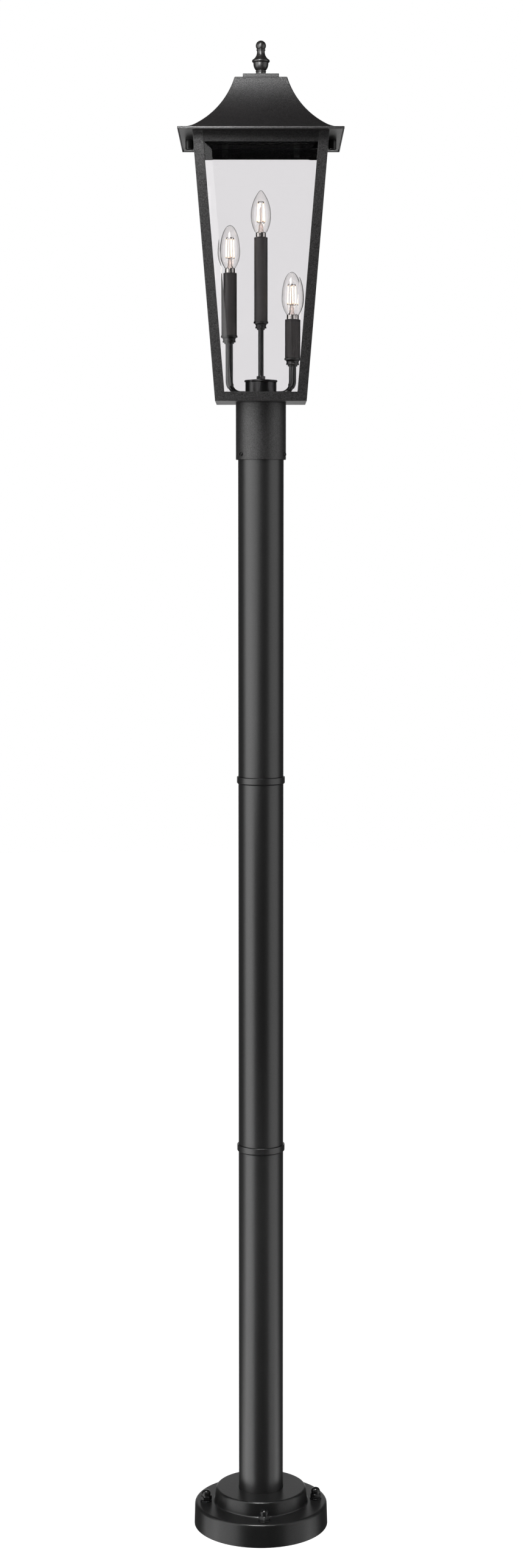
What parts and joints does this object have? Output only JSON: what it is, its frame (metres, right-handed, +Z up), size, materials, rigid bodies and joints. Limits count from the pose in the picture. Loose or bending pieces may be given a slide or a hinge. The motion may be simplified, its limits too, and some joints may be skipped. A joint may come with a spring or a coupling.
{
  "type": "lamp post",
  "caption": "Tall round sectional post on a bolted cast base, carrying a square tapered lantern with bevelled glass, a flared roof with a finial, and a candle cluster inside.",
  "frame": {"origin": "centre of the base underside, on the post axis, at ground level", "axes": "+Z up along the post; -Y is the front that the camera sees; +X is the viewer's right"},
  "size_m": [0.267, 0.267, 2.5183],
  "materials": {
    "post_paint": "satin",
    "lantern_paint": "matte",
    "black_hardware": "satin",
    "candle_metal": "satin",
    "sleeve_plastic": "matte",
    "holder_plastic": "matte",
    "nickel": "polished",
    "bevelled_glass": "clear",
    "bulb_glass": "clear"
  },
  "bodies": {
    "post": {"anchor_nuts": "black_hardware", "anchor_washers": "black_hardware", "base_casting": "post_paint", "coupling_lower": "post_paint", "coupling_upper": "post_paint", "post_lower": "post_paint", "post_middle": "post_paint", "post_upper": "post_paint"},
    "lantern": {"arm_left": "candle_metal", "arm_right": "candle_metal", "bottom_rail_front": "lantern_paint", "bottom_rail_left": "lantern_paint", "bottom_rail_rear": "lantern_paint", "bottom_rail_right": "lantern_paint", "candle_cup_centre": "candle_metal", "candle_cup_left": "candle_metal", "candle_cup_right": "candle_metal", "candle_sleeve_centre": "sleeve_plastic", "candle_sleeve_left": "sleeve_plastic", "candle_sleeve_right": "sleeve_plastic", "corner_post_front_left": "lantern_paint", "corner_post_front_right": "lantern_paint", "corner_post_rear_left": "lantern_paint", "corner_post_rear_right": "lantern_paint", "eave_plate": "lantern_paint", "floor_plate": "lantern_paint", "glass_clips": "black_hardware", "glass_pane_front": "bevelled_glass", "glass_pane_left": "bevelled_glass", "glass_pane_rear": "bevelled_glass", "glass_pane_right": "bevelled_glass", "hub_body": "candle_metal", "hub_lid": "candle_metal", "hub_nipple": "candle_metal", "hub_nuts": "candle_metal", "lamp_holder_centre": "holder_plastic", "lamp_holder_left": "holder_plastic", "lamp_holder_right": "holder_plastic", "post_fitter": "lantern_paint", "set_screws": "black_hardware", "stem_centre": "candle_metal", "top_rail_front": "lantern_paint", "top_rail_left": "lantern_paint", "top_rail_rear": "lantern_paint", "top_rail_right": "lantern_paint"},
    "roof": {"cap_plate": "lantern_paint", "finial": "lantern_paint", "finial_nut": "black_hardware", "finial_rod": "black_hardware", "roof_shell": "lantern_paint", "roof_studs": "black_hardware"},
    "thumb_nut_left": {"thumb_nut_left": "black_hardware"},
    "thumb_nut_right": {"thumb_nut_right": "black_hardware"},
    "bulb_centre": {"bulb_base_centre": "nickel", "bulb_glass_centre": "bulb_glass"},
    "bulb_left": {"bulb_base_left": "nickel", "bulb_glass_left": "bulb_glass"},
    "bulb_right": {"bulb_base_right": "nickel", "bulb_glass_right": "bulb_glass"}
  },
  "joints": [
    {"name": "lantern_swivel", "type": "hinge", "parent": "post", "child": "lantern", "pos_m": [0, 0, 1.9255], "axis": [0, 0, 1], "range_deg": [-180, 180]},
    {"name": "roof_lift", "type": "slide", "parent": "lantern", "child": "roof", "axis": [0, 0, 1], "range_m": [0, 0.3]},
    {"name": "thumb_nut_left_spin", "type": "hinge", "parent": "lantern", "child": "thumb_nut_left", "pos_m": [-0.1176, 0, 2.35], "axis": [0, 0, 1], "continuous": true},
    {"name": "thumb_nut_right_spin", "type": "hinge", "parent": "lantern", "child": "thumb_nut_right", "pos_m": [0.1176, 0, 2.35], "axis": [0, 0, 1], "continuous": true},
    {"name": "bulb_centre_screw", "type": "hinge", "parent": "lantern", "child": "bulb_centre", "pos_m": [0, 0, 2.2], "axis": [0, 0, 1], "continuous": true},
    {"name": "bulb_left_screw", "type": "hinge", "parent": "lantern", "child": "bulb_left", "pos_m": [-0.051, 0, 2.142], "axis": [0, 0, 1], "continuous": true},
    {"name": "bulb_right_screw", "type": "hinge", "parent": "lantern", "child": "bulb_right", "pos_m": [0.051, 0, 2.066], "axis": [0, 0, 1], "continuous": true}
  ]
}
